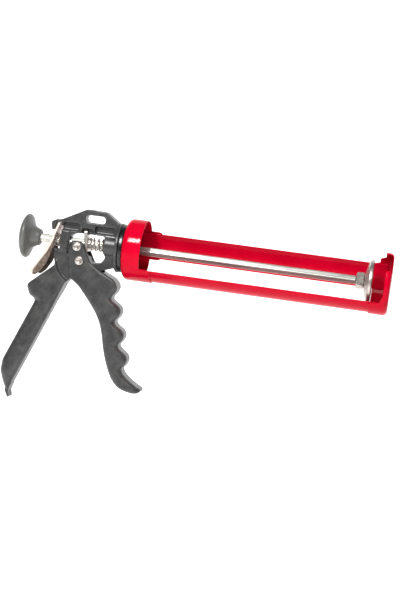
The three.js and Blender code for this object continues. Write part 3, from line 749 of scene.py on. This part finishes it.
def side_at(points, sign, spread=1.5):
    """Outermost x of the points at each height, in bands of spread mm: sign -1 for back, 1 for front."""
    band = np.round(points[:, 2] / spread).astype(int)
    low = band.min()
    edge = np.full(band.max() - low + 1, -np.inf)
    np.maximum.at(edge, band - low, sign * points[:, 0])
    height = (np.arange(len(edge)) + low) * spread
    return sign * np.interp(points[:, 2], height, edge)


flat_edge = rounded_edge(np.array([[0.0, 10.0, 0.0]]), np.zeros(1), (1, 0), 10.0, 5.0)
print("a square corner of 5 mm radius moves to", np.round(flat_edge[0], 2))

# %% [markdown]
# ## The trigger
#
# Four ridges part the fingers, and the toe turns forward to keep the hand on. The fingers pull on a rounded
# front, and the back, which nothing touches, is rounded only as far as the die needs.

# %% Trigger
def trigger_rounds(points):
    """A 6 mm round down the fingers' side and a 5 mm round down the back, both below the fork."""
    below = ramp_between(-points[:, 2], 30, 42)
    front = side_at(points, 1)
    back = side_at(points, -1)
    radius = 0.5 + 5.5 * below
    points = rounded_edge(points, (front - points[:, 0]) * 0.968, (-0.968, -0.25), 11.3, radius)
    return rounded_edge(points, (points[:, 0] - back) * 0.9, (0.9, 0.3), 11.3, 0.5 + 4.3 * below)


trigger = softened("trigger", "trigger_cast", "cast_paint", 0.6, 5)
reshape(trigger, trigger_rounds)

# %% [markdown]
# ## The handle
#
# The casting carries everything: the flange and nose for the cradle, the boss and column for the rod, and the
# grip. Its palm side is a full round, because the whole force of the squeeze bears on it.

# %% Handle
def grip_rounds(points):
    """A full round down the palm's side of the grip, and a 6 mm round down its front, below the web."""
    below = ramp_between(-points[:, 2], 40, 58)
    back = side_at(points, -1)
    front = side_at(points, 1)
    points = rounded_edge(points, (points[:, 0] - back) * 0.93, (0.93, 0.36), 10.3, 0.5 + 9.3 * below)
    return rounded_edge(points, (front - points[:, 0]) * 0.93, (-0.93, 0.36), 10.3, 0.5 + 5.5 * below)


handle = softened("handle_casting", "handle_cast", "cast_paint", 0.7, 4)
reshape(handle, grip_rounds)

# %% [markdown]
# ## Every piece gets its finish
#
# The record's material slots decide which finish a piece takes.

# %% Finishes onto pieces
finish_of = {
    "cast_paint": cast_enamel, "black_paint": black_enamel, "red_paint": red_enamel,
    "zinc": bright_zinc, "lever_zinc": lever_zinc_with_painted_highlight, "spring_steel": spring_wire,
    "rod_steel": drawn_steel, "knob_plastic": black_plastic,
}
shown = [o for o in bpy.context.scene.objects if o.type == "MESH" and "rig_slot" in o]
for made in shown:
    made.data.materials.clear()
    made.data.materials.append(finish_of[made["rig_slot"]])
print(len(shown), "pieces finished")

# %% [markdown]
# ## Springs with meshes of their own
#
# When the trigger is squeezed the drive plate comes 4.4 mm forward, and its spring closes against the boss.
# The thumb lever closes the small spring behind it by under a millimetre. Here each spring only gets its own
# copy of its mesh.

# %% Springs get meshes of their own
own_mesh(drive_spring)
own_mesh(release_spring)

# %% [markdown]
# ## The studio
#
# The gun stands over a pale floor that sweeps up into a pale wall. A long soft box high in front lights every
# round from above, a narrow strip beside it draws the one sharp glint on the cup's gloss, and even light from
# all round fills the shadows.

# %% Floor, wall and light
def sweep():
    """Floor to wall: a flat run, a quarter round of 0.5 m, and a wall, 6 m wide."""
    bend = np.linspace(0, np.pi / 2, 17)
    y = np.concatenate([[-3.0], 1.6 + 0.5 * np.sin(bend), [2.1]])
    z = np.concatenate([[-0.5], -0.5 + 0.5 * (1 - np.cos(bend)), [3.5]])
    x = np.array([-3.5, 3.5])[:, None]
    return np.stack(np.broadcast_arrays(x, y, z), -1)


grid = sweep()
k = np.arange(grid.shape[0] * grid.shape[1]).reshape(grid.shape[:2])
quads = np.stack([k[:-1, :-1], k[1:, :-1], k[1:, 1:], k[:-1, 1:]], -1).reshape(-1, 4)
floor_mesh = bpy.data.meshes.new("studio_sweep")
floor_mesh.from_pydata(grid.reshape(-1, 3), [], quads.tolist())
finish_mesh(floor_mesh, 60)
floor = bpy.data.objects.new("studio_sweep", floor_mesh)
bpy.context.scene.collection.objects.link(floor)
paper = finish("matte_white_background_paper", ("f4f4f4", "f7f7f7"), 400, (0.9, 0.95), (3, 0.01),
               Emission_Color=(1, 1, 1, 1), Emission_Strength=0.78)
floor_mesh.materials.append(paper)

world = bpy.data.worlds.new("even_studio_light")
world.use_nodes = True
world.node_tree.nodes["Background"].inputs["Color"].default_value = (1, 1, 1, 1)
world.node_tree.nodes["Background"].inputs["Strength"].default_value = 0.16
bpy.context.scene.world = world


def soft_box(name, spot, aim, size, watts):
    """A rectangular lamp at spot, facing aim, both in metres."""
    lamp = bpy.data.lights.new(name, "AREA")
    lamp.shape = "RECTANGLE"
    lamp.size, lamp.size_y = size
    lamp.energy = watts
    made = bpy.data.objects.new(name, lamp)
    made.location = spot
    towards = np.array(aim) - np.array(spot)
    flat = math.hypot(towards[0], towards[1])
    made.rotation_euler = (math.atan2(flat, -towards[2]), 0, math.atan2(-towards[0], towards[1]))
    bpy.context.scene.collection.objects.link(made)
    return made


soft_box("high_front_soft_box", (-0.20, -1.12, 0.80), (-0.20, 0, 0), (1.1, 0.30), 14)
soft_box("high_left_strip", (-0.467, -1.02, 0.80), (-0.21, 0, 0), (0.03, 0.34), 15)

# %% [markdown]
# ## The camera
#
# A long lens a little over a metre away looks across the gun from slightly above, turned so that the barrel
# runs down to the right.

# %% Camera
CAMERA_SPOT = (0.033, -1.250, 0.0709)
CAMERA_TURN = (85.06, -7.25, 8.98)
lens = bpy.data.cameras.new("long_lens")
lens.sensor_width = 36
lens.lens = 83.8
camera = bpy.data.objects.new("camera", lens)
camera.location = CAMERA_SPOT
camera.rotation_euler = [math.radians(a) for a in CAMERA_TURN]
bpy.context.scene.collection.objects.link(camera)
bpy.context.scene.camera = camera
bpy.context.scene.view_settings.view_transform = "Standard"
print("camera at", CAMERA_SPOT, "with a", round(lens.lens, 1), "mm lens")
